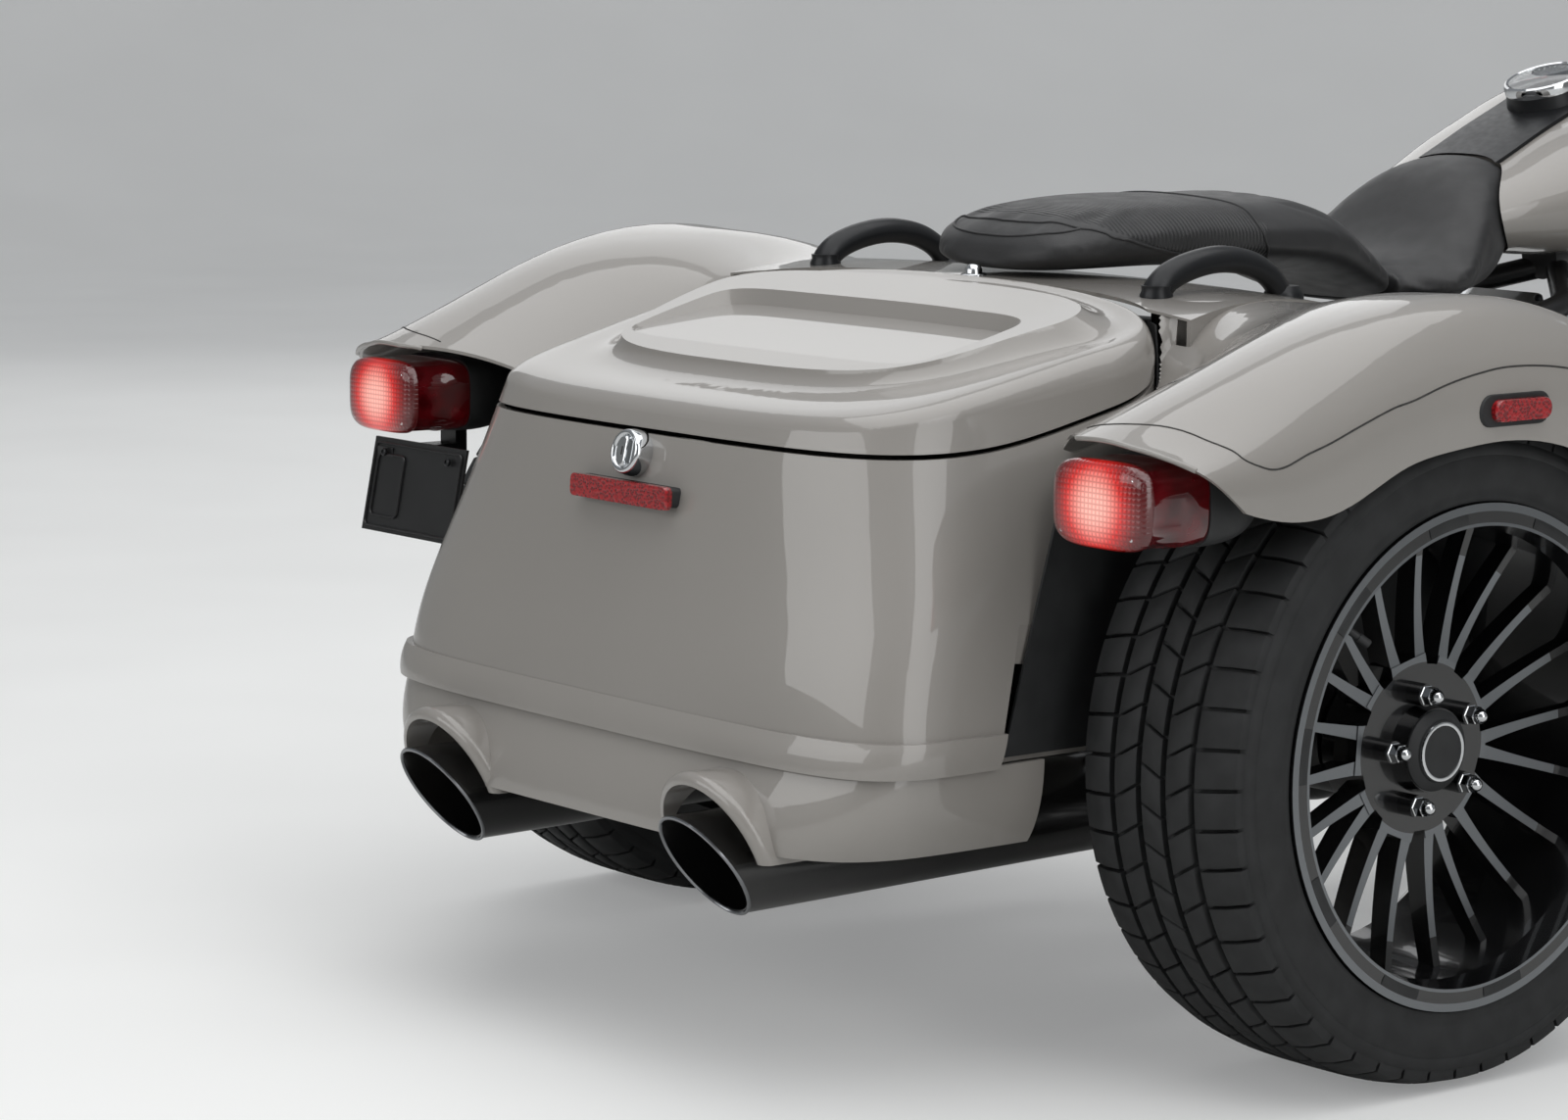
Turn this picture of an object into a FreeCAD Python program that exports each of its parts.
import FreeCAD, Part
import os
os.makedirs("parts", exist_ok=True)

import math

# A motorized trike: one steered wheel in front and two driven wheels behind, under wide fenders,
# with a hinged luggage trunk between them, a two-person seat and an air-cooled V-twin engine.
# Lengths are in millimetres. +X is the rider's right, +Y is forwards, +Z is up, the floor is Z = 0.

V = FreeCAD.Vector

# driving dimensions
WHEELBASE = 1674.0
FRONT_AXLE_Y = 1013.2
REAR_AXLE_Y = FRONT_AXLE_Y - WHEELBASE
LENGTH_SHIFT = -19.2          # moves the middle of the whole length to Y = 0

REAR_TYRE_RADIUS = 325.6
REAR_SIDEWALL = 79.7          # from the rim flange to the tread
REAR_TYRE_WIDTH = 215.0
REAR_TRACK_HALF = 552.0       # from the middle of the trike to the middle of a rear tyre
REAR_RIM_RADIUS = REAR_TYRE_RADIUS - REAR_SIDEWALL
FRONT_TYRE_RADIUS = 319.3
FRONT_SIDEWALL = 63.3
FRONT_TYRE_WIDTH = 130.0
FRONT_RIM_RADIUS = FRONT_TYRE_RADIUS - FRONT_SIDEWALL

RAKE = math.radians(26.0)     # steering axis, leaned back from the vertical
TRAIL = 99.0

FENDER_WALL = 4.0
TRUNK_WALL = 5.0
LID_GAP = 5.0                 # dark line between lid and tub
SPOKE_PAIRS = 10
LUG_COUNT = 5
FIRST_LUG = 14.0              # degrees from the top towards the rear
SOFT_GAP = 0.6                # between a cushion and what it lies against

EXHAUST_X = 222.0
EXHAUST_Z = 221.0
EXHAUST_RADIUS = 52.0
HEADER_RADIUS = 25.0

CRANK_Y = 175.0
CRANK_Z = 330.0
CYLINDER_LEAN = 22.5          # half of the 45 degree V
AIR_CLEANER_Z = 560.0


# small tools used by every piece

def shares(points):
    """How far along its own polyline each point lies, from 0 to 1."""
    steps = [q.sub(p).Length for p, q in zip(points, points[1:])]
    whole = sum(steps)
    return [sum(steps[:i]) / whole for i in range(len(points))]


def common_shares(rows):
    """One set of shares for a family of curves, so that a surface through them stays even."""
    each = [shares(row) for row in rows]
    return [sum(values) / len(rows) for values in zip(*each)]


def smooth_curve(points, at, closed=False):
    curve = Part.BSplineCurve()
    curve.interpolate(points, PeriodicFlag=closed, Parameters=at)
    return curve


def smooth_edge(points):
    return smooth_curve(points, shares(points)).toShape()


def smooth_rings(rows, at=None):
    """Closed smooth wires, one through each row of points."""
    at = at or common_shares([row + [row[0]] for row in rows])
    return [Part.Wire(smooth_curve(row, at, True).toShape()) for row in rows]


def smooth_skin(rows):
    """A smooth surface through a grid of points: first along the rows, then across them."""
    along = common_shares(rows)
    across = common_shares([list(column) for column in zip(*rows)])
    row_curves = [smooth_curve(row, along) for row in rows]
    columns = zip(*[curve.getPoles() for curve in row_curves])
    cross_curves = [smooth_curve(list(column), across) for column in columns]
    skin = Part.BSplineSurface()
    skin.buildFromPolesMultsKnots([curve.getPoles() for curve in cross_curves],
                                  row_curves[0].getMultiplicities(), cross_curves[0].getMultiplicities(),
                                  row_curves[0].getKnots(), cross_curves[0].getKnots(), False, False, 3, 3)
    return skin


def thin_wall(outer_rows, inner_rows):
    """A closed solid between two smooth skins, each through a grid of points."""
    faces = []
    sides = []
    for rows in (outer_rows, inner_rows):
        skin = smooth_skin(rows)
        faces.append(skin.toShape())
        u0, u1, v0, v1 = skin.bounds()
        sides.append([skin.uIso(u0), skin.uIso(u1), skin.vIso(v0), skin.vIso(v1)])
    for a, b in zip(*sides):
        faces.append(Part.makeRuledSurface(a.toShape(), b.toShape()))
    shell = Part.makeShell(faces)
    shell.sewShape()
    solid = Part.makeSolid(shell)
    return solid if solid.Volume > 0 else solid.reversed()


def straight_edge(a, b):
    return Part.LineSegment(a, b).toShape()


def loft(wires, ruled=False):
    """A solid through the wires."""
    return Part.makeLoft(wires, True, ruled)


def loft_rings(rows, at=None):
    """A smooth solid through closed rows of points."""
    return loft(smooth_rings(rows, at))


def rod(a, b, radius):
    """A round bar from a to b."""
    run = b.sub(a)
    return Part.makeCylinder(radius, run.Length, a, run)


def cone(a, b, radius_a, radius_b):
    run = b.sub(a)
    return Part.makeCone(radius_a, radius_b, run.Length, a, run)


def ring(a, b, outer, inner):
    """A round sleeve from a to b."""
    run = b.sub(a)
    hole = Part.makeCylinder(inner, run.Length + 2, a.sub(run * (1.0 / run.Length)), run)
    return rod(a, b, outer).cut(hole)


def bent_path(points, bend):
    """Straight runs joined by round bends."""
    edges = []
    start = points[0]
    for i in range(1, len(points) - 1):
        corner = points[i]
        back = points[i - 1].sub(corner).normalize()
        ahead = points[i + 1].sub(corner).normalize()
        half = back.getAngle(ahead) / 2
        cut = bend / math.tan(half)
        first = corner + back * cut
        last = corner + ahead * cut
        middle = (back + ahead).normalize()
        centre = corner + middle * (bend / math.sin(half))
        top = centre - middle * bend
        edges.append(straight_edge(start, first))
        edges.append(Part.Arc(first, top, last).toShape())
        start = last
    edges.append(straight_edge(start, points[-1]))
    return Part.Wire(edges)


def tube(points, radius, bend=60.0):
    """A bent round bar along the points."""
    path = bent_path(points, bend)
    circle = Part.Circle(points[0], points[1].sub(points[0]), radius)
    profile = Part.Wire(circle.toShape())
    return path.makePipeShell([profile], True, False)


def block(x0, x1, y0, y1, z0, z1):
    return Part.makeBox(x1 - x0, y1 - y0, z1 - z0, V(x0, y0, z0))


def rounded_block(x0, x1, y0, y1, z0, z1, radius):
    box = block(x0, x1, y0, y1, z0, z1)
    return box.makeFillet(radius, box.Edges)


def panel(points, thickness):
    """A flat plate whose outline is the points."""
    face = Part.Face(Part.makePolygon(points + [points[0]]))
    return face.extrude(thickness)


def squared_outline(half_u, half_v, power, count):
    """Points round a rounded rectangle; a greater power gives squarer corners."""
    points = []
    for i in range(count):
        angle = 2 * math.pi * (i + 0.5) / count
        u = math.copysign(abs(math.cos(angle)) ** (2 / power), math.cos(angle))
        v = math.copysign(abs(math.sin(angle)) ** (2 / power), math.sin(angle))
        points.append((half_u * u, half_v * v))
    return points


def mirrored(shape):
    """The same piece on the other side."""
    return shape.mirror(V(0, 0, 0), V(1, 0, 0))


def joined(shapes):
    whole = shapes[0]
    if len(shapes) > 1:
        whole = whole.fuse(shapes[1:])
    return whole.removeSplitter()


def both_sides(shape):
    """The piece and its mirror image as one node of two solids."""
    return Part.makeCompound([shape, mirrored(shape)])


def between(table, value):
    """Reads a value from a short table of (position, value) pairs, straight between them."""
    if value <= table[0][0]:
        return table[0][1]
    for (p0, v0), (p1, v1) in zip(table, table[1:]):
        if value <= p1:
            return v0 + (v1 - v0) * (value - p0) / (p1 - p0)
    return table[-1][1]


PARTS = {}


def keep(name, shape):
    """Stores a finished piece."""
    PARTS[name] = shape


def clear_of(shape, *names):
    """The shape without the room that finished pieces take; stray slivers are dropped."""
    rest = shape.cut([PARTS[name] for name in names]) if names else shape
    solids = [solid for solid in rest.Solids if solid.Volume > shape.Volume * 0.02]
    return solids[0] if len(solids) == 1 else Part.makeCompound(solids)


# trunk: tub and lid from one body

RING_POINTS = 26
LID_FRONT_BOW = 16.0
TRUNK_REAR_BOW = 8.0
LID_FRONT_Y = -744.0


def trunk_ring(level, slope, rear, half_rear, half_front, power, sag=0.0, front=LID_FRONT_Y, inset=0.0):
    """A rounded four-sided outline; level is its height at the rear, slope its rise per mm forwards."""
    rear = rear + inset
    front = front - inset
    half_rear = half_rear - inset
    half_front = half_front - inset
    middle = (rear + front) / 2
    reach = (front - rear) / 2
    points = []
    for u, v in squared_outline(1.0, 1.0, power, RING_POINTS):
        share = (v + 1) / 2
        x = u * (half_rear + (half_front - half_rear) * share)
        y = middle + reach * v
        if share < 0.5:
            y = y + TRUNK_REAR_BOW * u * u * (1 - 2 * share)
        else:
            y = y - LID_FRONT_BOW * u * u * (2 * share - 1)
        points.append(V(x, y, level + slope * (y - rear) - sag * share * abs(u) ** 2.5))
    return points


# level at the rear, slope, rear Y, half width at the rear and at the front, squareness of the corners
BAND_LEVELS = [
    (322, 0.00, -1231, 424, 410, 6.5),
    (340, 0.00, -1228, 427, 411, 6.5),
    (355, 0.00, -1222, 425, 410, 6.5),
]
WALL_LEVELS = [
    (355, 0.00, -1221, 417, 408, 6.2),
    (468, 0.03, -1197, 396, 396, 5.4),
    (560, 0.07, -1176, 359, 384, 5.0),
    (616, 0.12, -1163, 335, 379, 5.0),
    (630, 0.15, -1158, 331, 379, 5.0),
]
# the crowned top; further, the sag towards the front corners and the front Y
TOP_LEVELS = [
    (630, 0.15, -1158, 331, 379, 5.0, 0, -744),
    (640, 0.19, -1150, 325, 377, 5.0, 7, -744),
    (647, 0.235, -1134, 310, 370, 4.8, 13, -744),
    (652, 0.27, -1108, 284, 358, 4.6, 18, -746),
    (677, 0.257, -1060, 240, 304, 4.4, 0, -786),
]

# the line where lid and tub part, seen from the side: Y and Z
PARTING = [(-1300, 614), (-1095, 615), (-1008, 620), (-933, 634), (-857, 654), (-799, 676), (-765, 698), (-700, 712)]


def trunk_loft(levels, inset):
    """One height band; every band spaces its points alike, so that neighbours share their edge."""
    sample = trunk_ring(*WALL_LEVELS[2])
    at = shares(sample + [sample[0]])
    return loft_rings([trunk_ring(*level, inset=inset) for level in levels], at)


def trunk_body(inset):
    """The closed trunk, drawn in by the inset; a negative one makes it larger."""
    pieces = [trunk_loft(levels, inset) for levels in (BAND_LEVELS, WALL_LEVELS, TOP_LEVELS)]
    body = pieces[0].fuse(pieces[1:])
    body.translate(V(0, 0, -inset))
    return body


def below_parting(gap):
    """Everything under the parting line, less the gap."""
    curve = smooth_edge([V(-500, y, z - gap) for y, z in PARTING])
    first = curve.Vertexes[0].Point
    last = curve.Vertexes[-1].Point
    low_last = V(-500, last.y, 0)
    low_first = V(-500, first.y, 0)
    wire = Part.Wire([curve, straight_edge(last, low_last), straight_edge(low_last, low_first),
                      straight_edge(low_first, first)])
    return Part.Face(wire).extrude(V(1000, 0, 0))


DISH_HALF = 236.0
DISH_FRONT = -868.0
DISH_REAR = -1020.0
DISH_FRONT_Z = 711.5          # its floor, about 15 mm under the lid's top
DISH_REAR_Z = 685.8           # here the floor runs out into the top


def lid_dish(spread):
    """The shallow tray pressed into the lid, deepest at its front."""
    rise = (DISH_FRONT_Z - DISH_REAR_Z) / (DISH_FRONT - DISH_REAR)
    rows = []
    for lift, grow in ((0, 0), (40, 34)):
        front = DISH_FRONT + grow * 0.6 + spread
        rear = DISH_REAR - grow * 1.5 - spread
        points = squared_outline((front - rear) / 2, DISH_HALF + grow + spread, 7.0, 28)
        middle = (front + rear) / 2
        row = [V(v, middle + u, DISH_REAR_Z - spread + lift + rise * (middle + u - DISH_REAR)) for u, v in points]
        rows.append(row)
    return loft_rings(rows)


def make_trunk():
    outer = trunk_body(0).cut(lid_dish(0))
    inner = trunk_body(TRUNK_WALL).cut(lid_dish(TRUNK_WALL))
    shell = outer.cut(inner)
    floor = trunk_body(TRUNK_WALL / 2).common(block(-450, 450, -1300, -600, 324, 330))
    tub = joined([shell.common(below_parting(LID_GAP)), floor])
    tub = tub.cut(wheel_pocket(1)).cut(wheel_pocket(-1))
    keep("trunk_tub", joined([tub, trunk_lock()]))
    keep("trunk_lid", shell.cut(below_parting(0)))
    wall = TRUNK_WALL + 0.5
    rear = DECK_HALF + DECK_FLARE + 4 - wall
    waist = DECK_HALF + 11 - wall
    front = DECK_HALF - wall
    under = panel([V(-rear, -790, 500), V(rear, -790, 500), V(waist, -690, 500), V(front, -600, 500),
                   V(front, -480, 500), V(-front, -480, 500), V(-front, -600, 500), V(-waist, -690, 500)],
                  V(0, 0, 400))
    painted = deck(SKIRT_DEPTH).cut(deck(SKIRT_DEPTH + 20, TRUNK_WALL, 20.0).common(under))
    pin = rod(V(-PIN_HALF, HINGE_Y, HINGE_Z), V(PIN_HALF, HINGE_Y, HINGE_Z), PIN_RADIUS)
    keep("seat_deck", clear_of(painted.cut(trunk_body(-LID_GAP)).fuse(pin)))


# the lid's hinge pin lies in the gap at its front edge, level with the top
HINGE_Y = -742.2
HINGE_Z = 749.5
PIN_RADIUS = 2.2
PIN_HALF = 120.0


def wheel_pocket(side):
    """The side of the tub steps in beside the wheel, forward of a leaning edge."""
    outline = [V(0, -1062, 300), V(0, -980, 575), V(0, -600, 575), V(0, -600, 300)]
    for p in outline:
        p.x = side * POCKET_X
    return panel(outline, V(side * 100, 0, 0))


POCKET_X = 400.0
DECK_HALF = 341.0
DECK_FLARE = 27.0              # how much wider the deck is beside the lid
SKIRT_DEPTH = 60.0
DECK_SHARES = (-1, -0.72, -0.4, 0, 0.4, 0.72, 1)


def deck_height(x, y):
    """Top of the painted deck that carries the pillion seat and the grab handles."""
    middle = between([(-770, 748), (-700, 750), (-600, 748), (-500, 734)], y)
    edge = between([(-770, 730), (-700, 741), (-600, 741), (-500, 722)], y)
    return middle + (edge - middle) * (abs(x) / DECK_HALF) ** 2.5


def deck(depth=TRUNK_WALL, lowered=0.0, longer=0.0):
    """The painted deck; a great depth gives all the room below its top."""
    tops = []
    flare = DECK_HALF + DECK_FLARE
    for y, half in ((-770 - longer, flare), (-690, DECK_HALF + 11), (-600, DECK_HALF), (-500 + longer, DECK_HALF)):
        row = [V(share * half, y, deck_height(share * DECK_HALF, y) - lowered) for share in DECK_SHARES]
        tops.append(row)
    lows = [[p - V(0, 0, depth) for p in row] for row in tops]
    return thin_wall(tops, lows)


def trunk_lock():
    """Round push lock in the middle of the rear face."""
    face = V(0, -1171, 590)
    out = V(0, -0.974, 0.225)
    return rod(face - out * 12, face + out * 14, 21.0)


# rear valance with its exhaust hoods

VALANCE_LEVELS = [
    (323.5, 0.0, -1225, 416, 403, 6.5),
    (285, 0.0, -1240, 412, 400, 6.0),
    (255, 0.0, -1248, 398, 394, 5.6),
    (240, 0.0, -1249, 386, 388, 5.4),
]


def valance_body(inset):
    return trunk_loft(VALANCE_LEVELS, inset)


def exhaust_hood(side, radius, reach):
    """A round brow over a tailpipe."""
    centre = V(side * EXHAUST_X, 0, EXHAUST_Z + 12)
    start = V(centre.x, -1180, centre.z)
    end = V(centre.x, reach, centre.z)
    return rod(start, end, radius)


HOOD_ROLL = 9.0


def slanted_edges(shape):
    """The edges of the shape's rearmost faces."""
    return [edge for edge in shape.Edges if edge.BoundBox.YMax < -1182]


def make_valance():
    shell = valance_body(0).cut(valance_body(TRUNK_WALL))
    shell = shell.cut(block(-500, 500, -990, -600, 200, 400))
    pieces = [shell]
    slant = panel([V(-500, -1400, 345), V(-500, -1295, 345), V(-500, -1236, 215), V(-500, -1236, 100),
                   V(-500, -1400, 100)], V(1000, 0, 0))
    inner = valance_body(TRUNK_WALL)
    for side in (1, -1):
        hood = exhaust_hood(side, 80.0, -1300).cut(slant)
        hood = hood.makeFillet(HOOD_ROLL, slanted_edges(hood))
        hood = hood.cut(block(-500, 500, -1400, -1100, 100, 232))
        pieces.append(hood.cut(inner))
    whole = joined(pieces)
    for side in (1, -1):
        whole = whole.cut(exhaust_hood(side, 68.0, -1320))
        under = block(side * EXHAUST_X - 68, side * EXHAUST_X + 68, -1400, -1100, 150, EXHAUST_Z + 12)
        whole = whole.cut(under)
    keep("rear_valance", whole)


# rear fenders

# angle about the wheel (0 is forwards, 90 is up), then the radius of the skin at each of these X
FENDER_X = [342, 395, 455, 520, 600, 650, 688, 692, 690]
FENDER_STATIONS = [
    (4, [400, 408, 415, 420, 420, 412, 376, 345, 318]),
    (30, [405, 415, 424, 430, 430, 424, 379, 342, 310]),
    (56, [409, 419, 428, 433, 434, 428, 381, 342, 308]),
    (76, [417, 421, 429, 437, 438, 433, 381, 342, 308]),
    (92, [416, 416, 424, 436, 442, 435, 381, 343, 309]),
    (104, [402, 403, 418, 437, 447, 437, 384, 346, 313]),
    (115, [366, 372, 408, 440, 456, 442, 392, 355, 323]),
    (125, [381, 378, 418, 454, 470, 453, 403, 365, 330]),
    (134, [414, 405, 445, 481, 495, 475, 431, 390, 352]),
    (142.4, [466, 458, 488, 523, 534, 519, 490, 462, 433]),
]


def fender_point(x, radius, angle):
    a = math.radians(angle)
    return V(x, REAR_AXLE_Y + radius * math.cos(a), REAR_TYRE_RADIUS + radius * math.sin(a))


def fender_rows(angle, radii):
    """One cut through the fender's skin: its outer line and its inner line."""
    outer = [fender_point(x, r, angle) for x, r in zip(FENDER_X, radii)]
    inner = []
    for x, r in zip(FENDER_X, radii):
        step_in = FENDER_WALL if x > 640 else 0
        step_down = FENDER_WALL if x < 689 else 0
        inner.append(fender_point(x - step_in, r - step_down, angle))
    return outer, inner


def make_fenders():
    rows = [fender_rows(angle, radii) for angle, radii in FENDER_STATIONS]
    skin = thin_wall([outer for outer, inner in rows], [inner for outer, inner in rows])
    inner_edge = panel([V(200, -925, 300), V(384, -925, 300), V(440, -1000, 300), V(545, -1076, 300),
                        V(545, -1300, 300), V(200, -1300, 300)], V(0, 0, 600))
    right = clear_of(skin.cut(trunk_body(-LID_GAP)).cut([inner_edge, deck(SKIRT_DEPTH)]))
    keep("fender_right", right)
    keep("fender_left", mirrored(right))


def make_liners():
    """Black inner arch over each rear wheel, with the wall beside the tub."""
    arch = ring(V(404, REAR_AXLE_Y, REAR_TYRE_RADIUS), V(640, REAR_AXLE_Y, REAR_TYRE_RADIUS), 352, 348)
    keep_zone = block(300, 700, -880, -300, 360, 700)
    arch = arch.common(keep_zone)
    wall = panel([V(404, -1040, 330), V(404, -975, 560), V(404, -870, 600), V(404, -430, 600),
                  V(404, -330, 400), V(404, -330, 330)], V(3, 0, 0))
    wall = wall.cut(rod(V(300, REAR_AXLE_Y, REAR_TYRE_RADIUS), V(500, REAR_AXLE_Y, REAR_TYRE_RADIUS), 60))
    keep("wheel_liners", both_sides(joined([arch, wall])))


# rear lamps and reflectors

LAMP_X = 587.0
LAMP_Z = 593.5
LAMP_FACE_Y = -1092.0
LAMP_HALF_WIDTH = 64.0
LAMP_HALF_HEIGHT = 40.5


def lamp_ring(y, half_w, half_h, x=LAMP_X, z=LAMP_Z, power=4.0):
    return [V(x + u, y, z + v) for u, v in squared_outline(half_w, half_h, power, 20)]


def make_tail_lamps():
    w = LAMP_HALF_WIDTH
    h = LAMP_HALF_HEIGHT
    sizes = ((0, w - 5, h - 5), (3, w - 1, h - 1), (14, w, h), (50, w + 1, h), (78, w + 2, h - 2))
    lens = loft_rings([lamp_ring(LAMP_FACE_Y + back, half_w, half_h) for back, half_w, half_h in sizes])
    keep("taillight_lenses", both_sides(lens))
    sizes = ((78.5, w + 3, h + 1), (115, w + 2, h - 1), (160, w - 22, h - 14))
    housing = loft_rings([lamp_ring(LAMP_FACE_Y + back, half_w, half_h) for back, half_w, half_h in sizes])
    keep("taillight_housings", both_sides(housing))


def make_reflectors():
    rear = rounded_block(-81, 81, -1196, -1182, 542, 565, 5)
    side = rounded_block(688, 700, -694, -612, 652, 676, 5)
    side = clear_of(side, "fender_right")
    keep("reflectors", Part.makeCompound([rear, side, mirrored(side)]))


def make_plate_bracket():
    plate = panel([V(-609, -1080, 546), V(-431, -1080, 546), V(-431, -1100, 444), V(-609, -1100, 444)], V(0, 3, 0))
    arm = block(-600, -570, -1084, -985, 526, 536)
    post = block(-600, -570, -1000, -985, 526, 556)
    keep("plate_bracket", clear_of(joined([plate, arm, post]), "taillight_housings", "taillight_lenses"))


# seat and grab handles

CUSHION_POINTS = 14


def seat_ring(y, half, low, top, power=2.8):
    """A cushion's cut across the trike."""
    middle = (low + top) / 2
    return [V(u, y, middle + v) for u, v in squared_outline(half, (top - low) / 2, power, CUSHION_POINTS)]


# Y, half width, low, top
PILLION_CUTS = [
    (-728, 36, 762, 776), (-716, 84, 754, 794), (-690, 112, 751, 809), (-620, 135, 750, 823),
    (-510, 146, 750, 828), (-400, 146, 742, 826), (-310, 140, 730, 815), (-270, 132, 718, 788),
    (-235, 122, 706, 766), (-216, 108, 700, 750),
]
RIDER_CUTS = [
    (-214, 116, 700, 750), (-180, 140, 697, 752), (-150, 158, 698, 762), (-105, 142, 698, 800),
    (-65, 122, 700, 836), (-30, 104, 706, 855), (0, 86, 730, 860), (14, 58, 775, 850),
]


def rider_body(inset):
    """The rider's cushion when drawn in by the gap, or the room that it lies in."""
    rows = []
    for i, (y, half, low, top) in enumerate(RIDER_CUTS):
        end = inset if i == len(RIDER_CUTS) - 1 else 0
        rows.append(seat_ring(y - end, half - inset, low + inset, top - inset))
    return loft_rings(rows)


def make_seats():
    keep("pillion_seat", loft_rings([seat_ring(*cut, 2.4) for cut in PILLION_CUTS]))
    keep("rider_seat", rider_body(SOFT_GAP))


HANDLE_X = 264.0
HANDLE_RADIUS = 15.0


def make_grab_handles():
    rear_foot = V(HANDLE_X, -728, deck_height(HANDLE_X, -728) - 1)
    front_foot = V(HANDLE_X, -530, deck_height(HANDLE_X, -530) - 1)
    path = [rear_foot, V(HANDLE_X, -706, 768), V(HANDLE_X, -590, 770), front_foot]
    pieces = [tube(path, HANDLE_RADIUS, 40.0)]
    for foot in (rear_foot, front_foot):
        pieces.append(cone(foot, foot + V(0, 3, 22), 25, 16))
    keep("grab_handles", both_sides(joined(pieces).cut(deck(60.0))))


# wheels

def turned(profile, x):
    """A ring turned about a wheel's axle; the profile holds (offset from the middle, radius)."""
    points = [V(x + dx, 0, r) for dx, r in profile]
    face = Part.Face(Part.makePolygon(points + [points[0]]))
    return face.revolve(V(x, 0, 0), V(1, 0, 0), 360)


def placed(shape, y, z):
    moved = shape.copy()
    moved.translate(V(0, y, z))
    return moved


def tyre(width, radius, rim):
    """A plain tyre on its rim; the tread's blocks are left to the finishing stage."""
    half = width / 2
    wall = rim + (radius - rim) * 0.45
    outer = [(half - 0.5, rim + 0.3), (half, wall), (half * 0.84, radius - 7), (half * 0.6, radius)]
    seat = [(half - 15.5, rim - 14.6), (half - 9.5, rim + 0.3)]
    right = seat + outer
    left = [(-x, r) for x, r in reversed(right)]
    return turned(right + left, 0)


SPOKE_FACE = 36.0             # the hub's outer face, from the middle of the tyre


def spoke_pair(angle, flat):
    """Two arms that part towards the rim: U pairs behind the lug nuts, V pairs between them."""
    hub_gap = 15.0 if flat else 4.0
    arms = []
    for side in (-1, 1):
        reach = REAR_RIM_RADIUS - 19.9
        root = V(SPOKE_FACE, side * hub_gap, 74)
        tip = V(SPOKE_FACE + 12, 0, 0)
        tip.y = reach * math.sin(math.radians(9.0)) * side
        tip.z = reach * math.cos(math.radians(9.0))
        arms.append(spoke_arm(root, tip))
    pair = arms[0].fuse(arms[1])
    foot = block(SPOKE_FACE - 30, SPOKE_FACE, -hub_gap - 9, hub_gap + 9, 60, 90)
    pair = pair.fuse(foot)
    pair.rotate(V(0, 0, 0), V(1, 0, 0), angle)
    return pair


def spoke_arm(root, tip):
    """One arm, deep at the hub and slim at the rim."""
    wires = []
    for share, width, depth in ((0.0, 15, 32), (0.5, 9.5, 26), (1.0, 9.5, 22)):
        at = root + (tip - root) * share
        bulge = 6 * math.sin(math.pi * share)
        corners = [V(at.x - bulge, at.y - width / 2, at.z), V(at.x - bulge, at.y + width / 2, at.z),
                   V(at.x - bulge - depth, at.y + width / 4, at.z), V(at.x - bulge - depth, at.y - width / 4, at.z)]
        wires.append(Part.makePolygon(corners + [corners[0]]))
    return loft(wires)


def rear_rim():
    half = 107.0
    flange = REAR_RIM_RADIUS
    well = flange - 14.9
    barrel = turned([(half, flange), (half, flange - 22), (half - 26, flange - 26.9), (-half + 20, flange - 31.9),
                     (-half, flange - 18), (-half, flange), (-half + 8, flange), (-half + 14, well),
                     (half - 14, well), (half - 8, flange)], 0)
    hub = turned([(-30, 0), (-30, 70), (SPOKE_FACE, 82), (SPOKE_FACE, 44), (54, 41), (54, 0)], 0)
    pieces = [barrel, hub]
    for i in range(SPOKE_PAIRS):
        pieces.append(spoke_pair(FIRST_LUG + 360.0 / SPOKE_PAIRS * i, i % 2 == 0))
    for i in range(LUG_COUNT):
        angle = math.radians(FIRST_LUG + 360.0 / LUG_COUNT * i)
        y = -57 * math.sin(angle)
        z = 57 * math.cos(angle)
        pieces.append(rod(V(34, y, z), V(54, y, z), 11))
    return joined(pieces)


def make_rear_wheels():
    rim = rear_rim()
    rubber = tyre(REAR_TYRE_WIDTH, REAR_TYRE_RADIUS, REAR_RIM_RADIUS)
    for name, side in (("right", 1), ("left", -1)):
        wheel = placed(rim, REAR_AXLE_Y, REAR_TYRE_RADIUS)
        wheel.translate(V(REAR_TRACK_HALF, 0, 0))
        skin = placed(rubber, REAR_AXLE_Y, REAR_TYRE_RADIUS)
        skin.translate(V(REAR_TRACK_HALF, 0, 0))
        if side < 0:
            wheel = mirrored(wheel)
            skin = mirrored(skin)
        keep("rear_rim_" + name, wheel)
        keep("rear_tyre_" + name, skin)


DISC_X = 64.0


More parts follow.
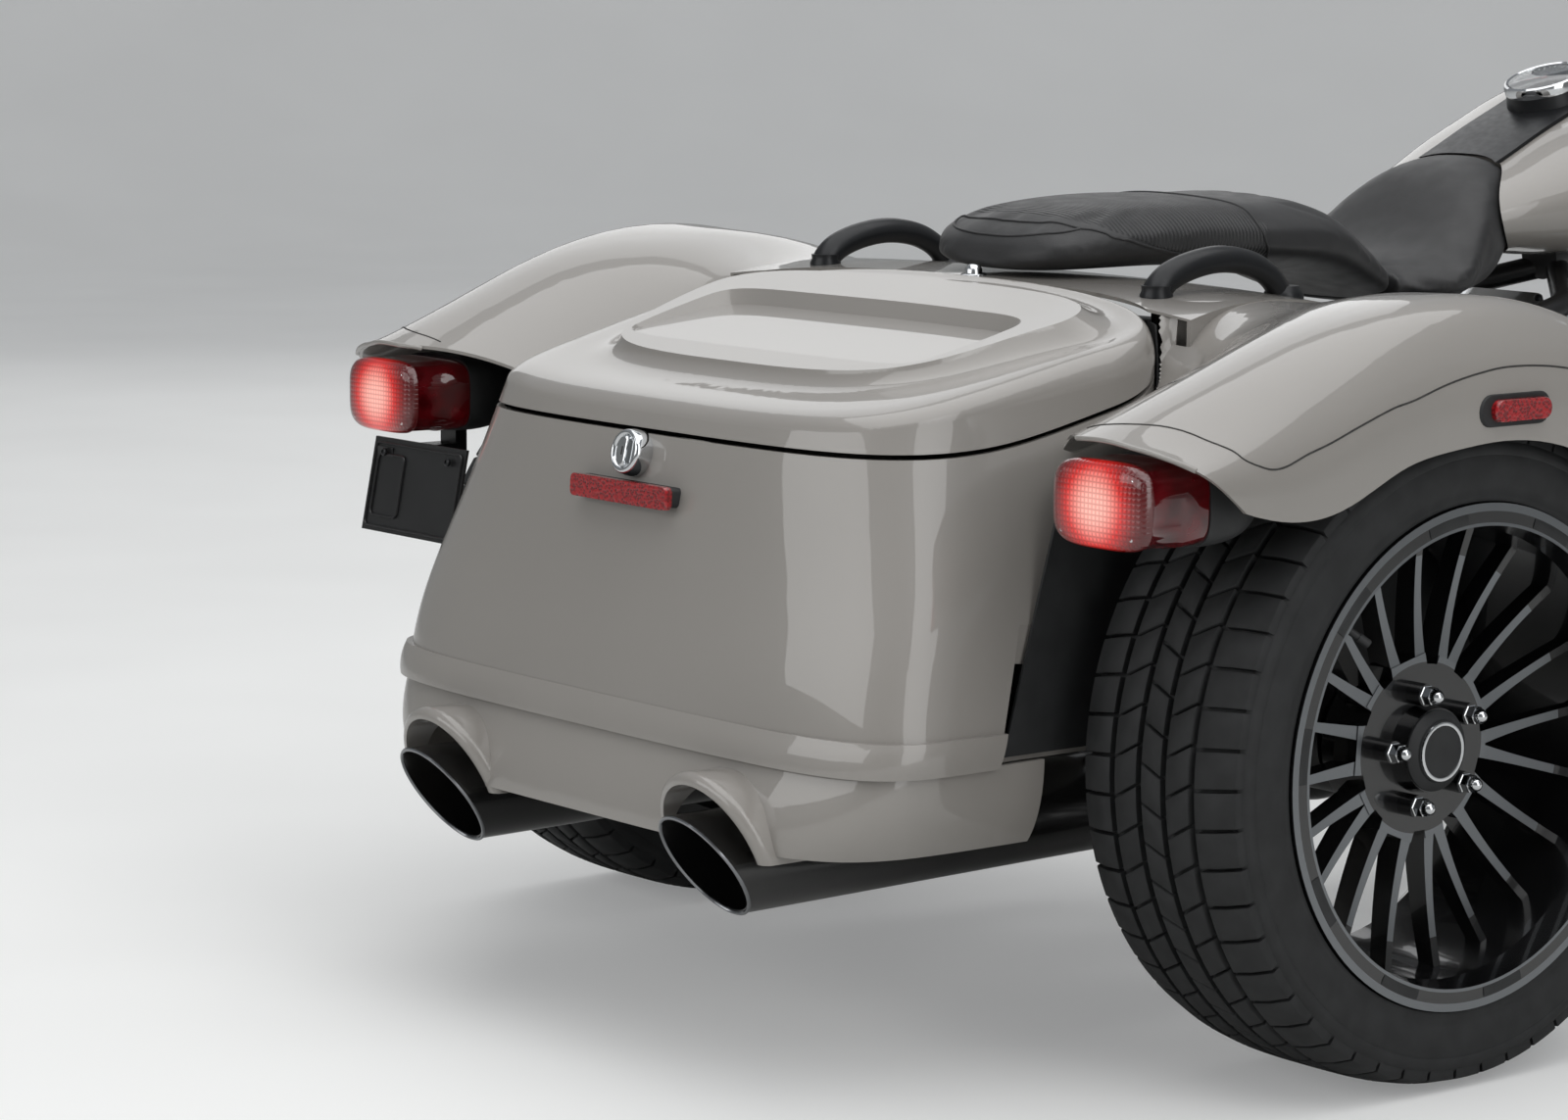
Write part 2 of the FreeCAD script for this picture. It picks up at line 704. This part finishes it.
def make_front_wheel():
    half = 57.0
    flange = FRONT_RIM_RADIUS
    inside = flange - 28
    well = flange - 15
    barrel = turned([(half, flange), (half, flange - 18), (half - 22, inside), (-half + 22, inside),
                     (-half, flange - 18), (-half, flange), (-half + 7, flange), (-half + 6.9, well),
                     (half - 6.9, well), (half - 7, flange)], 0)
    hub = turned([(-DISC_X, 14), (-DISC_X, 46), (-20, 40), (20, 40), (DISC_X, 46), (DISC_X, 14)], 0)
    pieces = [barrel, hub]
    for i in range(SPOKE_PAIRS):
        pieces.append(front_spoke(360.0 / SPOKE_PAIRS * i))
    rim = joined(pieces)
    keep("front_rim", placed(rim, FRONT_AXLE_Y, FRONT_TYRE_RADIUS))
    rubber = tyre(FRONT_TYRE_WIDTH, FRONT_TYRE_RADIUS, FRONT_RIM_RADIUS)
    seat = flange + 0.3
    rubber = rubber.cut(turned([(-half, 200), (-half, seat), (half, seat), (half, 200)], 0))
    keep("front_tyre", placed(rubber, FRONT_AXLE_Y, FRONT_TYRE_RADIUS))
    disc = turned([(DISC_X + 0.1, 15), (DISC_X + 0.1, 76), (DISC_X + 1, 150), (DISC_X + 6, 150), (DISC_X + 6, 15)], 0)
    for i in range(10):
        angle = math.radians(36.0 * i)
        y = 100 * math.cos(angle)
        z = 100 * math.sin(angle)
        disc = disc.cut(rod(V(DISC_X - 5, y, z), V(DISC_X + 12, y, z), 16))
    keep("front_discs", both_sides(placed(disc, FRONT_AXLE_Y, FRONT_TYRE_RADIUS)))


def front_spoke(angle):
    arms = []
    for side in (-1, 1):
        root = V(20, side * 6, 34)
        reach = FRONT_RIM_RADIUS - 21
        tip = V(14, side * reach * math.sin(math.radians(9.0)), reach * math.cos(math.radians(9.0)))
        wires = []
        for share, width, depth in ((0.0, 14, 40), (1.0, 11, 28)):
            at = root + (tip - root) * share
            corners = [V(depth / 2, at.y - width / 2, at.z), V(depth / 2, at.y + width / 2, at.z),
                       V(-depth / 2, at.y + width / 2, at.z), V(-depth / 2, at.y - width / 2, at.z)]
            wires.append(Part.makePolygon(corners + [corners[0]]))
        arms.append(loft(wires, ruled=True))
    pair = arms[0].fuse(arms[1])
    pair.rotate(V(0, 0, 0), V(1, 0, 0), angle)
    return pair


# exhaust

def make_exhaust():
    rear = V(EXHAUST_X, -1300, EXHAUST_Z)
    front = V(EXHAUST_X, -560, EXHAUST_Z + 12)
    bore_end = rear + (front - rear) * 0.17
    body = rod(rear, front, EXHAUST_RADIUS)
    taper = cone(front, front + (front - rear) * 0.12, EXHAUST_RADIUS, 30)
    bore = rod(rear - (front - rear) * 0.01, bore_end, EXHAUST_RADIUS - 3.5)
    slash = panel([V(0, -1400, 300), V(0, -1292, 300), V(0, -1292, EXHAUST_Z + 52), V(0, -1214, EXHAUST_Z - 54),
                   V(0, -1214, 100), V(0, -1400, 100)], V(400, 0, 0))
    right = joined([body, taper]).cut(bore).cut(slash)
    keep("mufflers", both_sides(right))
    end = front + (front - rear) * 0.1206
    pipe_right = tube([end, V(EXHAUST_X, -300, 229), V(175, 60, 205), V(172, 310, 232), V(110, 362, 400),
                       V(60, 352, 540), V(20, 330, 590)], HEADER_RADIUS, 55)
    pipe_rear = tube([V(172, 70, 215), V(165, -40, 260), V(150, -80, 420), V(90, -90, 540), V(25, -60, 585)],
                     HEADER_RADIUS, 50)
    cross = tube([V(-end.x, end.y, end.z), V(-EXHAUST_X, -390, 222), V(-110, -325, 185), V(110, -325, 185),
                  V(200, -300, 215)], HEADER_RADIUS, 40)
    headers = joined([pipe_right, pipe_rear, cross])
    keep("exhaust_headers", clear_of(headers, "engine_case", "cylinders", "rocker_covers", "mufflers"))


# engine

def along_cylinder(lean, distance, x=0.0, across=0.0):
    """A point on a leaned cylinder; lean is positive towards the rear."""
    a = math.radians(lean)
    y = CRANK_Y - distance * math.sin(a) + across * math.cos(a)
    z = CRANK_Z + distance * math.cos(a) + across * math.sin(a)
    return V(x, y, z)


def fin(lean, distance, half_x, half_y, thick):
    """One cooling fin: a rounded plate square to the cylinder."""
    plate = block(-half_x, half_x, -half_y, half_y, 0, thick)
    uprights = [e for e in plate.Edges if abs(e.Vertexes[0].Point.z - e.Vertexes[-1].Point.z) > thick / 2]
    plate = plate.makeFillet(min(half_x, half_y) * 0.45, uprights)
    plate.rotate(V(0, 0, 0), V(1, 0, 0), lean)
    base = along_cylinder(lean, distance)
    plate.translate(base)
    return plate


def make_cylinder(lean):
    barrel = rod(along_cylinder(lean, 118), along_cylinder(lean, 262), 56)
    head = fin(lean, 262, 66, 62, 62)
    pieces = [barrel, head]
    for i in range(9):
        pieces.append(fin(lean, 132 + 14.0 * i, 78, 74, 4.0))
    for i in range(4):
        pieces.append(fin(lean, 264 + 15.0 * i, 84, 80, 5.0))
    return joined(pieces)


def make_rocker_cover(lean):
    base = fin(lean, 324.5, 80, 66, 26)
    top = fin(lean, 350, 72, 56, 26)
    return joined([base, top])


def make_engine():
    case = rod(V(-70, CRANK_Y, CRANK_Z), V(70, CRANK_Y, CRANK_Z), 118)
    sump = rounded_block(-95, 95, -190, 210, 190, 262, 18)
    gearbox = rounded_block(-66, 100, -215, 70, 250, 440, 24)
    chaincase = rod(V(-104.5, CRANK_Y + 10, CRANK_Z), V(-60, CRANK_Y + 10, CRANK_Z), 88)
    sprocket = rod(V(BELT_X - BELT_WIDTH, BELT_FRONT_Y, CRANK_Z), V(-60, BELT_FRONT_Y, CRANK_Z), BELT_FRONT_RADIUS - 6.5)
    keep("engine_case", joined([case, sump, gearbox, chaincase, sprocket]))
    cam = cone(V(70.5, CRANK_Y, CRANK_Z + 15), V(118, CRANK_Y, CRANK_Z + 15), 106, 84)
    nose = rod(V(118, CRANK_Y + 8, CRANK_Z), V(128, CRANK_Y + 8, CRANK_Z), 46)
    tubes = [cam, nose]
    for lean in (-CYLINDER_LEAN, CYLINDER_LEAN):
        for across in (-18, 18):
            shift = across * 0.55
            low = along_cylinder(lean * 0.72, 96, 100, shift)
            high = along_cylinder(lean, 300, 96, across)
            tubes.append(rod(low, high, 10))
    keep("cam_cover", clear_of(joined(tubes), "engine_case"))
    primary = primary_outline(-150, 0)
    lip = primary_outline(-106, -8)
    keep("primary_cover", primary.fuse(lip).removeSplitter())
    leans = (-CYLINDER_LEAN, CYLINDER_LEAN)
    keep("cylinders", clear_of(Part.makeCompound([make_cylinder(lean) for lean in leans]), "engine_case", "cam_cover"))
    keep("rocker_covers", Part.makeCompound([make_rocker_cover(lean) for lean in leans]))


def primary_outline(x, grow):
    """The long rounded cover on the left, over the clutch and the front sprocket."""
    front = rod(V(x, CRANK_Y + 10, CRANK_Z), V(-105.5, CRANK_Y + 10, CRANK_Z), 96 - grow)
    back = rod(V(x, -120, CRANK_Z), V(-105.5, -120, CRANK_Z), 112 - grow)
    web = block(x, -105.5, -120, CRANK_Y + 10, CRANK_Z - 96, CRANK_Z + 100)
    return front.fuse([back, web])


def make_air_cleaner():
    body = turned([(114, 0), (114, 80), (120, 92), (138, 92), (150, 70), (154, 0)], 0)
    snorkel = turned([(84.5, 0), (84.5, 30), (118, 30), (118, 0)], 0)
    keep("air_cleaner", placed(joined([body, snorkel]), CRANK_Y, AIR_CLEANER_Z))


def make_oil_cooler():
    core = rounded_block(-84, 84, 452, 492, 230, 400, 8)
    for i in range(7):
        z = 246 + i * 21.0
        core = core.cut(block(-74, 74, 484, 500, z, z + 12))
    keep("oil_cooler", core)


BELT_X = -70.0
BELT_WIDTH = 28.0
BELT_FRONT_Y = -120.0
BELT_FRONT_RADIUS = 52.0
BELT_REAR_RADIUS = 72.0
BELT_THICK = 6.0


def make_drive():
    """Belt on the left from the gearbox to the axle housing; returns the rear pulley."""
    front = V(BELT_X, BELT_FRONT_Y, CRANK_Z)
    back = V(BELT_X, REAR_AXLE_Y, REAR_TYRE_RADIUS)
    outer = belt_loop(front, BELT_FRONT_RADIUS, back, BELT_REAR_RADIUS, BELT_WIDTH)
    inner = belt_loop(front, BELT_FRONT_RADIUS - BELT_THICK, back, BELT_REAR_RADIUS - BELT_THICK, BELT_WIDTH + 4)
    inner.translate(V(2, 0, 0))
    keep("drive_belt", outer.cut(inner))
    return rod(back, back - V(BELT_WIDTH, 0, 0), BELT_REAR_RADIUS - BELT_THICK - 0.5)


def belt_loop(front, radius_front, back, radius_back, width):
    """A solid racetrack round two pulleys."""
    pieces = [rod(front, front + V(-width, 0, 0), radius_front), rod(back, back + V(-width, 0, 0), radius_back)]
    run = back - front
    lean = math.asin((radius_back - radius_front) / run.Length)
    heading = math.atan2(run.z, run.y)
    corners = []
    for centre, radius, sign in ((front, radius_front, 1), (back, radius_back, 1), (back, radius_back, -1),
                                 (front, radius_front, -1)):
        angle = heading + sign * (math.pi / 2 + lean)
        corners.append(V(centre.x, centre.y + radius * math.cos(angle), centre.z + radius * math.sin(angle)))
    pieces.append(panel(corners, V(-width, 0, 0)))
    return pieces[0].fuse(pieces[1:]).removeSplitter()


# frame and rear axle

def steering_point(z, ahead=0.0, x=0.0):
    """A point of the steering axis at height z, moved ahead of it square to it."""
    y = FRONT_AXLE_Y + TRAIL - z * math.tan(RAKE)
    return V(x, y + ahead * math.cos(RAKE), z + ahead * math.sin(RAKE))


HEAD_RADIUS = 32.0
STEM_RADIUS = 15.0
HEAD_BORE = STEM_RADIUS + 6.0
BACKBONE = [(330, 775), (140, 735)]


def backbone(start_z, radius):
    """The big tube under the tank, from the steering head back to where the rails part."""
    path = [V(0, y, z) for y, z in BACKBONE]
    return tube([steering_point(start_z)] + path, radius, 90)


def make_frame():
    pieces = [rod(steering_point(770), steering_point(880), HEAD_RADIUS), backbone(835, 27)]
    for side in (1, -1):
        pieces.append(tube([steering_point(800), V(side * 60, 560, 640), V(side * 125, 430, 300),
                            V(side * 125, 380, 165), V(side * 125, -200, 165), V(side * 125, -260, 300),
                            V(side * 125, -285, 430), V(side * 90, -300, 560), V(side * 20, -300, 560)], 17, 40))
        pieces.append(tube([V(side * 15, 155, 722), V(side * 104, 70, 690), V(side * 104, -120, 640),
                            V(side * 150, -420, 672), V(side * 190, -560, 674), V(side * 190, -735, 674)], 14, 40))
        pieces.append(rod(V(side * 125, -262, 400), V(side * 190, -600, 674), 13))
        pieces.append(rod(V(side * 190, -640, 674), V(side * 190, -640, deck_height(190, -640) - TRUNK_WALL - 0.2), 12))
    for y, z, half in ((-560, 674, 190), (120, 178, 125), (-150, 178, 125), (-150, 643, 104)):
        pieces.append(rod(V(-half, y, z), V(half, y, z), 12))
    whole = joined(pieces).cut(rod(steering_point(740), steering_point(910), HEAD_BORE))
    keep("frame", clear_of(whole, "engine_case"))


ARM_X = 74.0


def make_rear_axle():
    centre = V(0, REAR_AXLE_Y, REAR_TYRE_RADIUS)
    beam = rod(V(-440, centre.y, centre.z), V(440, centre.y, centre.z), 38)
    case = rod(V(-62, centre.y, centre.z), V(62, centre.y, centre.z), 74)
    pieces = [beam, case, make_drive(), rod(V(-104, -250, 330), V(104, -250, 330), 26)]
    for side in (1, -1):
        pieces.append(rod(V(side * 425, centre.y, centre.z), V(side * 506, centre.y, centre.z), 60))
        pieces.append(tube([V(side * ARM_X, -250, 330), V(side * 140, -450, 330), V(side * 180, -680, 326)], 24, 80))
    keep("rear_axle", joined(pieces))
    top = V(192, -606, 652)
    low = V(204, -652, 366)
    coil = [low + (top - low) * share for share in (0.14, 0.8)]
    shock = joined([rod(low, top, 18), rod(coil[0], coil[1], 34)])
    keep("shocks", both_sides(clear_of(shock, "frame", "rear_axle")))


# tank and console

# Y, half width, low, top
TANK_CUTS = [
    (-92, 60, 768, 796), (-80, 92, 756, 812), (-45, 116, 750, 832), (10, 138, 746, 856), (70, 156, 742, 884),
    (135, 168, 742, 912), (220, 172, 744, 945), (330, 158, 752, 938), (430, 126, 770, 908), (505, 78, 796, 876),
    (522, 40, 812, 852),
]
STRAP_HALF = 60.0
STRAP_RISE = 5.0
GAUGE_RADIUS = 50.0


def tank_body(inset):
    return loft_rings([seat_ring(y, half - inset, low + inset, top - inset, 2.5) for y, half, low, top in TANK_CUTS])


def make_tank():
    tank = tank_body(0).cut(backbone(822, 36)).cut(rider_body(0))
    keep("fuel_tank", clear_of(tank))
    strap = tank_body(-STRAP_RISE).common(block(-STRAP_HALF, STRAP_HALF, -20, 380, 815, 1000))
    base = V(0, 150, 915)
    top = V(0, 140, 942)
    gauge = cone(base, top, GAUGE_RADIUS, GAUGE_RADIUS - 4)
    console = joined([strap, gauge]).cut(tank_body(-0.5)).cut(rider_body(0))
    keep("tank_console", clear_of(console))


def make_side_covers():
    outline = [V(174, -430, 420), V(174, -200, 470), V(174, -190, 620), V(174, -250, 655), V(174, -430, 655)]
    cover = panel(outline, V(30, 0, 0))
    uprights = [e for e in cover.Edges if abs(e.Vertexes[0].Point.x - e.Vertexes[-1].Point.x) > 25]
    cover = cover.makeFillet(26, uprights)
    tab = block(120, 176, -300, -280, 560, 580)
    keep("side_covers", both_sides(clear_of(joined([cover, tab]), "frame")))


def make_footboards():
    pieces = [rounded_block(180, 300, 130, 430, 268, 284, 7)]
    for y in (210, 350):
        pieces.append(tube([V(125, y, 162), V(240, y, 162), V(240, y, 270)], 12, 30))
    board = clear_of(joined(pieces), "frame", "exhaust_headers")
    peg = clear_of(rod(V(110, -262, 337), V(275, -262, 345), 15), "frame", "rear_axle")
    keep("footrests", Part.makeCompound([board, mirrored(board), peg, mirrored(peg)]))


# steering

LEG_X = 116.0
LEG_AHEAD = 51.0


def make_fork():
    pieces = []
    for z in (905.0, 752.0):
        centre = steering_point(z)
        plate = block(-LEG_X - 32, LEG_X + 32, -34, LEG_AHEAD + 30, -13, 13)
        uprights = [e for e in plate.Edges if abs(e.Vertexes[0].Point.z - e.Vertexes[-1].Point.z) > 10]
        plate = plate.makeFillet(28, uprights)
        plate.rotate(V(0, 0, 0), V(1, 0, 0), 26.0)
        plate.translate(centre)
        pieces.append(plate)
    pieces.append(rod(steering_point(740), steering_point(925), STEM_RADIUS))
    for side in (1, -1):
        top = steering_point(912, LEG_AHEAD, side * LEG_X)
        mid = steering_point(560, LEG_AHEAD, side * LEG_X)
        low = steering_point(300, LEG_AHEAD, side * LEG_X)
        pieces.append(rod(mid, top, 24.5))
        pieces.append(rod(low, mid + (top - mid) * 0.06, 31))
        pieces.append(caliper(side))
    axle = V(LEG_X + 20, FRONT_AXLE_Y, FRONT_TYRE_RADIUS)
    pieces.append(rod(V(-axle.x, axle.y, axle.z), axle, 12.5))
    keep("fork", joined(pieces))


def caliper(side):
    """Brake caliper over the rear edge of a front disc, with its lug on the fork leg."""
    inner = DISC_X - 9
    outer = DISC_X + 18
    body = rounded_block(inner, outer, FRONT_AXLE_Y - 168, FRONT_AXLE_Y - 106, FRONT_TYRE_RADIUS - 20,
                         FRONT_TYRE_RADIUS + 84, 8)
    slot = turned([(DISC_X - 3, 80), (DISC_X - 3, 156), (DISC_X + 10, 156), (DISC_X + 10, 80)], 0)
    body = body.cut(placed(slot, FRONT_AXLE_Y, FRONT_TYRE_RADIUS))
    corners = ((-150, 64), (-150, 0), (-10, 10), (-40, 110))
    lug = panel([V(outer - 1, FRONT_AXLE_Y + y, FRONT_TYRE_RADIUS + z) for y, z in corners], V(16, 0, 0))
    whole = joined([body, lug])
    return whole if side > 0 else mirrored(whole)


FRONT_FENDER_GAP = 36.7       # from the front tyre's tread to the top of its fender


def make_front_fender():
    """Close-fitting cover over the front tyre, turned about the front axle."""
    top = FRONT_TYRE_RADIUS + FRONT_FENDER_GAP
    outer = [(-79, top - 70), (-79, top - 38), (-66, top - 14), (-34, top - 3), (0, top),
             (34, top - 3), (66, top - 14), (79, top - 38), (79, top - 70)]
    inner = [(x * 0.955, r - 3.4) for x, r in reversed(outer)]
    upper = smooth_edge([V(x, 0, r) for x, r in outer])
    low = smooth_edge([V(x, 0, r) for x, r in inner])
    ends = [straight_edge(V(outer[-1][0], 0, outer[-1][1]), V(inner[0][0], 0, inner[0][1])),
            straight_edge(V(inner[-1][0], 0, inner[-1][1]), V(outer[0][0], 0, outer[0][1]))]
    section = Part.Face(Part.Wire([upper, ends[0], low, ends[1]]))
    section.rotate(V(0, 0, 0), V(1, 0, 0), -72)
    cover = section.revolve(V(0, 0, 0), V(1, 0, 0), 178)
    cover = placed(cover, FRONT_AXLE_Y, FRONT_TYRE_RADIUS)
    keep("front_fender", cover)


def make_nacelle():
    """Headlamp shell in front of the steering head, cut free of the head at every steering angle."""
    front = V(0, 855, 800)
    sizes = ((0, 92, 92), (-30, 112, 108), (-75, 138, 116), (-95, 132, 108))
    shell = loft_rings([nacelle_ring(front, *size) for size in sizes])
    shell = shell.cut(rod(steering_point(600), steering_point(1000), HEAD_RADIUS + 8))
    keep("headlight_nacelle", clear_of(shell, "fork"))
    keep("headlamp", rod(front + V(0, 0.3, 0), front + V(0, 26, 0), 88))


def nacelle_ring(front, back, half_w, half_h):
    points = []
    for i in range(16):
        angle = 2 * math.pi * (i + 0.5) / 16
        points.append(V(half_w * math.cos(angle), front.y + back, front.z - back * 0.12 + half_h * math.sin(angle)))
    return points


BAR_RADIUS = 16.0
GRIP_INNER = V(338, 551, 1131)
BAR_END = V(424, 450, 1093)


def make_handlebar():
    path = [V(0, 648, 950), V(120, 648, 950), V(250, 630, 1120), V(330, 560, 1135), BAR_END]
    right = tube(path, BAR_RADIUS, 55)
    risers = [rod(V(side * 45, 690, 900), V(side * 45, 648, 950), 18) for side in (1, -1)]
    keep("handlebar", clear_of(joined([right, mirrored(right)] + risers), "fork"))
    along = BAR_END.sub(GRIP_INNER).normalize()
    start = BAR_END - along * 118
    grip = ring(start, BAR_END, 20.5, BAR_RADIUS + 0.2).fuse(rod(BAR_END, BAR_END + along * 9, 20.5))
    housing = ring(start - along * 34, start, 25, BAR_RADIUS + 0.2)
    lever_from = start - along * 16 + V(0, 34, 0)
    pivot = rod(start - along * 20, lever_from, 9)
    lever = tube([lever_from, lever_from + V(24, 20, -6), lever_from + along * 150 + V(0, 18, -6)], 6, 16)
    controls = joined([grip, housing, pivot, lever]).cut(rod(GRIP_INNER - along * 40, BAR_END, BAR_RADIUS + 0.2))
    controls = clear_of(controls, "handlebar")
    keep("hand_controls", both_sides(controls))
    base = start - along * 16
    stem = tube([base + V(0, 0, 20), base + V(14, -6, 70), base + V(56, -20, 128)], 5.5, 24)
    head = loft_rings([mirror_ring(base, 8, 40, 26), mirror_ring(base, 0, 58, 40), mirror_ring(base, -14, 52, 35)])
    keep("mirrors", both_sides(clear_of(joined([stem, head]), "hand_controls")))


def mirror_ring(base, back, half_w, half_h):
    centre = base + V(82, -22 + back, 140)
    points = []
    for i in range(12):
        angle = 2 * math.pi * i / 12
        points.append(centre + V(half_w * math.cos(angle), 0, half_h * math.sin(angle)))
    return points


def make_indicators():
    body = turned([(-30, 0), (-26, 22), (-8, 32), (16, 32), (26, 20), (28, 0)], 0)
    body.rotate(V(0, 0, 0), V(0, 0, 1), 90)
    body.translate(V(214, 772, 742))
    stem = rod(V(130, 762, 754), V(190, 768, 744), 10)
    keep("front_indicators", both_sides(clear_of(joined([body, stem]), "fork", "headlight_nacelle")))


def make_all():
    make_trunk()
    make_valance()
    make_fenders()
    make_liners()
    make_tail_lamps()
    make_reflectors()
    make_plate_bracket()
    make_seats()
    make_grab_handles()
    make_rear_wheels()
    make_front_wheel()
    make_engine()
    make_exhaust()
    make_air_cleaner()
    make_oil_cooler()
    make_frame()
    make_rear_axle()
    make_tank()
    make_side_covers()
    make_footboards()
    make_fork()
    make_front_fender()
    make_nacelle()
    make_handlebar()
    make_indicators()


make_all()
for name, shape in PARTS.items():
    moved = shape.copy()
    moved.translate(V(0, LENGTH_SHIFT, 0))
    moved.exportStep("parts/" + name + ".step")
print(len(PARTS), "pieces")
